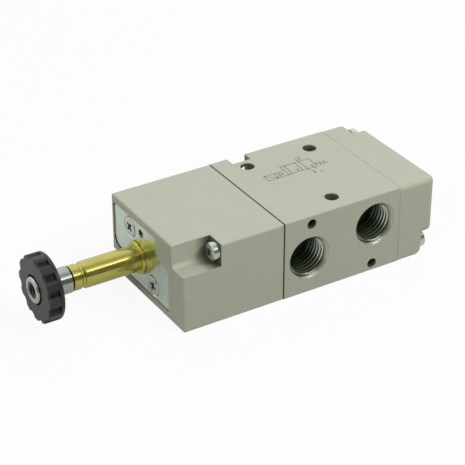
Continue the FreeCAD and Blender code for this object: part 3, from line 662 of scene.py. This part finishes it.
def insert_thread():
    """Thread in the insert's mouth, which turns and travels with the knob."""
    bm = thread_sleeve(insert_major_radius, insert_minor_radius, insert_pitch, insert_sleeve_radius,
                       insert_thread_start, insert_thread_end, insert_mouth_radius, steps=48, rows=10)
    bmesh.ops.transform(bm, matrix=axis_frame((insert_low.x, tube_y, tube_z), (-1, 0, 0)), verts=bm.verts)
    thread = add_piece("insert_thread", bm, shaded_insert_bore, "knob_group")
    smooth(thread.data, thread_smooth_angle)


port_thread("port_1_thread", mounts["port_1_supply"])
port_thread("port_2_thread", mounts["port_2_outlet"])
port_thread("port_3_thread", mounts["port_3_exhaust"])
insert_thread()


# Screws with cross recesses
def cross_cutter(reach, top, place):
    """Tapered cross-shaped prism that stands in a screw head, its narrow end down."""
    bm = bmesh.new()
    w = recess_half_width
    outline = [(reach, -w), (reach, w), (w, w), (w, reach), (-w, reach), (-w, w), (-reach, w), (-reach, -w),
               (-w, -w), (-w, -reach), (w, -reach), (w, -w)]
    levels = ((top - recess_depth, recess_taper), (top, 1.0), (top + recess_depth, 1.0))
    rings = [[bm.verts.new((x * share, y * share, z)) for x, y in outline] for z, share in levels]
    for low, high in zip(rings, rings[1:]):
        for i in range(len(outline)):
            j = (i + 1) % len(outline)
            bm.faces.new((low[i], low[j], high[j], high[i]))
    for ring in (rings[0], rings[-1]):
        bm.faces.new(ring)
    bmesh.ops.transform(bm, matrix=place, verts=bm.verts)
    return mesh_object("cutter", bm)


def cross_screw(name, node, profile, top, reach, place):
    """Lathe-turned screw with a cross recess, its axis along local Z and its tip at z = 0."""
    screw = add_piece(name, lathe(profile, screw_steps, place), screw_steel, "valve")
    cut_away(screw, cross_cutter(reach, top, place))
    # Faces of the cross recess take the near-black material: painted shade.
    screw.data.materials.append(recess_shade)
    back = place.inverted()
    for face in screw.data.polygons:
        center = back @ face.center
        inside = center.xy.length < reach + loose_fit
        if inside and loose_fit < top - center.z < recess_depth + loose_fit:
            face.material_index = 1
    smooth(screw.data, screw_smooth_angle)
    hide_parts(node)


def corner_places(node, head_radius, falling=False):
    """Axes of two screws as (y, z), in opposite corners of their node's box, from front to back."""
    low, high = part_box(node)
    front, back = low.y + head_radius, high.y - head_radius
    bottom, top = low.z + head_radius, high.z - head_radius
    return ((front, top), (back, bottom)) if falling else ((front, bottom), (back, top))


def clamp_screws(node, direction, places):
    """Pan-head screws that stand along X, direction being where the heads point."""
    low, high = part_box(node)
    length = high.x - low.x
    tip = low.x if direction > 0 else high.x
    neck = length - clamp_head_height
    flank = length - clamp_head_crown
    profile = [(0, 0), (clamp_shank_radius - screw_tip_chamfer, 0), (clamp_shank_radius, screw_tip_chamfer),
               (clamp_shank_radius, neck), (clamp_head_radius, neck), (clamp_head_radius, flank)]
    crown_width = clamp_head_radius - clamp_head_flat_radius
    for i in range(1, crown_steps + 1):
        angle = pi / 2 * i / crown_steps
        radius = clamp_head_flat_radius + crown_width * cos(angle)
        profile.append((radius, flank + clamp_head_crown * sin(angle)))
    profile.append((0, length))
    for number, ((y, z), turn) in enumerate(zip(places, clamp_recess_turns), 1):
        place = axis_frame((tip, y, z), (direction, 0, 0)) @ Matrix.Rotation(radians(turn), 4, "Z")
        cross_screw(f"{node}_{number}", node, profile, length, clamp_recess_reach, place)


def plate_screws(node, places):
    """Flat countersunk screws whose heads point along -X."""
    low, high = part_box(node)
    length = high.x - low.x
    rim = length - plate_head_proud
    cone = rim - (plate_head_radius - plate_shank_radius)
    head = plate_head_radius - plate_head_gap
    profile = [(0, 0), (plate_shank_radius - screw_tip_chamfer, 0), (plate_shank_radius, screw_tip_chamfer),
               (plate_shank_radius, cone), (head, rim - plate_head_gap), (head, rim),
               (head - plate_head_chamfer, length), (0, length)]
    for number, ((y, z), turn) in enumerate(zip(places, plate_recess_turns), 1):
        place = axis_frame((high.x, y, z), (-1, 0, 0)) @ Matrix.Rotation(radians(turn), 4, "Z")
        cross_screw(f"pilot_plate_screw_{number}", node, profile, length, plate_recess_reach, place)


clamp_screws("actuator_cap_screws", -1, corner_places("actuator_cap_screws", clamp_head_radius, falling=True))
clamp_screws("end_cap_screws", 1, corner_places("end_cap_screws", clamp_head_radius))
plate_screws("pilot_plate_screws", corner_places("pilot_plate_screws", plate_head_radius))


# Springs, as copies of their meshes that ride on the valve
def coil_spring(node):
    """Copy of a spring's mesh that rides on the valve in place of the spring node."""
    spring = add_object(node + "_coil", nodes[node].data.copy())
    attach(spring, "valve")
    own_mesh(spring)
    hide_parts(node)


coil_spring("return_spring")
coil_spring("plunger_spring")


# Symbol of a 3/2 valve, with port numbers, in printed lines
def ink_strip(bm, points, closed=False, width=ink_width):
    """Flat closed strip with mitred corners along points given in millimetres on the body's top."""
    path = [Vector(p) * MM for p in points]
    count = len(path)
    edges = []
    for i, here in enumerate(path):
        before = path[i - 1] if closed or i > 0 else None
        after = path[(i + 1) % count] if closed or i < count - 1 else None
        ways = [(here - before).normalized()] if before is not None else []
        ways += [(after - here).normalized()] if after is not None else []
        normals = [Vector((-way.y, way.x)) for way in ways]
        side = sum(normals, Vector((0, 0))).normalized()
        side *= width / 2 / max(mitre_limit, side.dot(normals[0]))
        corners = [(here + side, -ink_sink), (here - side, -ink_sink), (here - side, ink_height),
                   (here + side, ink_height)]
        edges.append([bm.verts.new((spot.x, spot.y, top_z + z)) for spot, z in corners])
    pairs = list(zip(edges, edges[1:])) + ([(edges[-1], edges[0])] if closed else [])
    for first, second in pairs:
        for i in range(4):
            bm.faces.new((first[i], first[(i + 1) % 4], second[(i + 1) % 4], second[i]))
    if not closed:
        bm.faces.new(edges[0])
        bm.faces.new(edges[-1])


def ink_arrow(bm, start, end):
    """Line with a filled arrow head at its end."""
    head_length, head_half_width = 0.75, 0.24
    start, end = Vector(start), Vector(end)
    way = (end - start).normalized()
    side = Vector((-way.y, way.x)) * head_half_width
    neck = end - way * head_length
    ink_strip(bm, [start, neck])
    rings = []
    outline = [point * MM for point in (neck + side, neck - side, end)]
    for z in (-ink_sink, ink_height):
        rings.append([bm.verts.new((point.x, point.y, top_z + z)) for point in outline])
    for i in range(3):
        j = (i + 1) % 3
        bm.faces.new((rings[0][i], rings[0][j], rings[1][j], rings[1][i]))
    for ring in rings:
        bm.faces.new(ring)


def ink_digit(bm, digit, x, y):
    """Digit in one stroke around a point, from outlines that are one unit high."""
    height = 1.5
    strokes = {
        1: ((-0.18, 0.28), (0.04, 0.5), (0.04, -0.5)),
        2: ((-0.28, 0.25), (-0.2, 0.43), (0, 0.5), (0.2, 0.43), (0.28, 0.25), (0.2, 0.02), (-0.28, -0.5),
            (0.3, -0.5)),
        3: ((-0.27, 0.38), (-0.07, 0.5), (0.16, 0.46), (0.26, 0.28), (0.16, 0.08), (-0.04, 0.02),
            (0.18, -0.05), (0.28, -0.25), (0.16, -0.46), (-0.07, -0.5), (-0.28, -0.37)),
    }
    ink_strip(bm, [(x + px * height, y + py * height) for px, py in strokes[digit]], width=digit_ink_width)


def shut_port(bm, x, low):
    """Short line up from the box's edge that ends in a bar."""
    height, half_bar = 1.4, 0.6
    ink_strip(bm, [(x, low), (x, low + height)])
    ink_strip(bm, [(x - half_bar, low + height), (x + half_bar, low + height)])


def valve_symbol():
    """Two state boxes with their flow paths, coil and pilot at the left, and spring at the right."""
    left, middle, right = -3.25, 1.95, 7.05
    low, high = 3.05, 8.25
    outlet, supply = 3.5, 5.7
    driven_outlet, driven_exhaust = -1.9, 0.6
    coil_left, coil_right = -10.5, -6.9
    coil_low, coil_high = 2.85, 5.75
    pilot_left, pilot_tip, pilot_low, pilot_high = -5.9, -4.3, 3.5, 5.1
    spring_y, spring_reach, spring_step = 4.0, 0.95, 0.62
    bm = bmesh.new()
    ink_strip(bm, [(left, low), (right, low), (right, high), (left, high)], closed=True)
    ink_strip(bm, [(middle, low), (middle, high)])
    ink_strip(bm, [(left, coil_low), (coil_left, coil_low), (coil_left, coil_high), (left, coil_high)])
    ink_strip(bm, [(coil_right, coil_low), (coil_right, coil_high)])
    ink_strip(bm, [(coil_left, coil_high), (coil_right, coil_low)])
    pilot = [(pilot_left, pilot_low), (pilot_tip, (pilot_low + pilot_high) / 2), (pilot_left, pilot_high)]
    ink_strip(bm, pilot, closed=True)
    # Driven state: supply to outlet, exhaust shut
    ink_arrow(bm, (driven_outlet, low), (driven_outlet, high))
    shut_port(bm, driven_exhaust, low)
    # Rest state: outlet to exhaust, supply shut
    ink_arrow(bm, (outlet, high), (outlet, low))
    shut_port(bm, supply, low)
    # Lines to the ports, and their numbers
    ink_strip(bm, [(outlet, high), (outlet, high + 1.9)])
    ink_strip(bm, [(outlet, low), (outlet, low - 1.3)])
    ink_strip(bm, [(supply, low), (supply, low - 1.3)])
    ink_digit(bm, 2, outlet + 1.25, high + 1.85)
    ink_digit(bm, 3, outlet + 0.6, low - 2.5)
    ink_digit(bm, 1, supply + 0.5, low - 3.65)
    # Return spring
    spring = [(right, spring_y)]
    for i in range(1, 7):
        spring.append((right + spring_step * i, spring_y + (spring_reach if i % 2 else -spring_reach)))
    ink_strip(bm, spring)
    add_piece("valve_symbol", bm, ink_material(), "valve")


valve_symbol()


# Floor, lights and camera
class StageTree(NodeTree):
    """Node tree of a world or of a stage material, with nothing in it yet."""

    def __init__(self, owner):
        owner.use_nodes = True
        owner.node_tree.nodes.clear()
        super().__init__(owner.node_tree)

    def plain(self, kind, color, strength=None):
        """Output of a shader node of one colour, with a strength if it gives light."""
        made = self.node(kind)
        self.put(color, made.inputs["Color"])
        if strength is not None:
            self.put(strength, made.inputs["Strength"])
        return made.outputs[0]

    def surface(self, output_kind, shader):
        self.put(shader, self.node(output_kind).inputs["Surface"])

    def seen_share(self, reflected=1.0):
        """1 for what the camera sees, and a share for what metal reflects or glass passes."""
        path = self.node("LightPath")
        other = self.math("MAXIMUM", path.outputs["Is Glossy Ray"], path.outputs["Is Transmission Ray"])
        return self.math("MAXIMUM", path.outputs["Is Camera Ray"], self.math("MULTIPLY", other, reflected))


def stage_object(name, corners, faces, material):
    """Floor or screen, which isn't part of the valve."""
    mesh = bpy.data.meshes.new(name)
    mesh.from_pydata(corners, [], faces)
    mesh.materials.append(material)
    obj = add_object(name, mesh)
    return obj


def shade_under_tube(tree):
    """How bright the floor is in reflections: darker in the patch that the tube hangs over."""
    level_under, level_around = 0.38, 0.55
    middle_x = (tube_low.x + tube_high.x) / 2
    middle_y = tube_y + 4 * MM
    x, y, _ = tree.axes()
    along = tree.span(tree.offset(x, middle_x), 20 * MM, 40 * MM, 0, 1)
    across = tree.span(tree.offset(y, middle_y), 7 * MM, 24 * MM, 0, 1)
    return tree.span(tree.math("MAXIMUM", along, across), 0, 1, level_under, level_around)


def studio_floor():
    """Pale floor that takes the object's shadow and shows white, yet throws little light back up."""
    reach = 3.0
    gap = 0.05 * MM
    glow_share = 0.92
    material = bpy.data.materials.new("floor_white")
    tree = StageTree(material)
    bounce = tree.plain("BsdfDiffuse", (0.3, 0.3, 0.29))
    shown = tree.plain("BsdfDiffuse", (0.86, 0.86, 0.86))
    bright = tree.mix_shaders(glow_share, shown, tree.plain("Emission", white, 1.0))
    seen = tree.seen_share(shade_under_tube(tree))
    tree.surface("OutputMaterial", tree.mix_shaders(seen, bounce, bright))
    corners = [(-reach, -reach, -gap), (reach, -reach, -gap), (reach, reach, -gap), (-reach, reach, -gap)]
    stage_object("floor", corners, [(0, 1, 2, 3)], material)


def studio_world():
    """White to the camera and in reflections, and dim as a source of light."""
    world = bpy.data.worlds.new("studio")
    bpy.context.scene.world = world
    tree = StageTree(world)
    dim = tree.plain("Background", white, 0.2)
    bright = tree.plain("Background", white, 1.0)
    tree.surface("OutputWorld", tree.mix_shaders(tree.seen_share(), dim, bright))


def reflection_card(name, corners, faces, color, level, fade=None):
    """Screen that only shows in shiny surfaces. fade gives two Y places between which it grows to white."""
    material = bpy.data.materials.new(name)
    tree = StageTree(material)
    strength = tree.span(tree.axes()[1], *fade, level, 1.0) if fade else level
    tree.surface("OutputMaterial", tree.plain("Emission", color, strength))
    card = stage_object(name, corners, faces, material)
    card.visible_camera = False
    card.visible_diffuse = False
    card.visible_shadow = False
    card.visible_transmission = False


def dark_wall():
    """Wall on the camera's side, along a line of (x, y) places."""
    low, high = -0.02, 1.7
    line = ((-1.9, -0.5), (-1.2, -1.3), (0.0, -1.6), (1.2, -1.4), (2.0, -1.1), (2.6, -0.4))
    corners = [(x, y, z) for x, y in line for z in (low, high)]
    faces = [(2 * i, 2 * i + 2, 2 * i + 3, 2 * i + 1) for i in range(len(line) - 1)]
    reflection_card("dark_wall", corners, faces, (1, 1.02, 0.72), 0.2)


def grey_ceiling():
    """Ceiling strip beyond the key light, which fades into the white room behind it."""
    left, right = -1.5, 2.5
    front, behind = -0.60, 0.45
    height = 1.3
    corners = [(left, front, height), (right, front, height), (right, behind, height), (left, behind, height)]
    reflection_card("grey_ceiling", corners, [(0, 1, 2, 3)], white, 0.52, fade=(-0.25, behind))


def area_light(name, place, size, power, in_reflections=False):
    """Rectangular lamp that points at the object."""
    target = Vector((-0.02, 0, 0.01))
    data = bpy.data.lights.new(name, "AREA")
    data.shape = "RECTANGLE"
    data.size, data.size_y = size
    data.energy = power
    light = add_object(name, data)
    light.location = place
    light.rotation_mode = "QUATERNION"
    light.rotation_quaternion = (Vector(place) - target).to_track_quat("Z", "Y")
    light.visible_glossy = in_reflections


def photo_camera():
    """Camera at the photograph's place, found from the block's edges, ports and holes."""
    azimuth = radians(31.596)
    elevation = radians(30.905)
    focal_pixels = 1741.92
    frame_pixels = 465
    place = Vector((-256.40, -376.23, 278.03)) * MM
    back = Vector((-sin(azimuth) * cos(elevation), -cos(azimuth) * cos(elevation), sin(elevation)))
    data = bpy.data.cameras.new("camera")
    data.sensor_width = 36
    data.lens = data.sensor_width * focal_pixels / frame_pixels
    data.clip_start = 0.01
    data.clip_end = 20
    camera = add_object("camera", data)
    camera.location = place
    camera.rotation_mode = "QUATERNION"
    camera.rotation_quaternion = back.to_track_quat("Z", "Y")
    bpy.context.scene.camera = camera


studio_floor()
studio_world()
dark_wall()
grey_ceiling()
area_light("key", (0.40, -0.56, 0.71), (0.5, 0.25), 5.0)
area_light("strip", (0.36, -0.515, 0.65), (0.9, 0.1), 0.9, in_reflections=True)
area_light("back", (0.35, 0.62, 0.72), (0.7, 0.7), 2.9)
area_light("fill", (-0.85, -0.2, 0.5), (0.5, 0.5), 3.0)
photo_camera()
bpy.context.scene.view_settings.view_transform = "Standard"
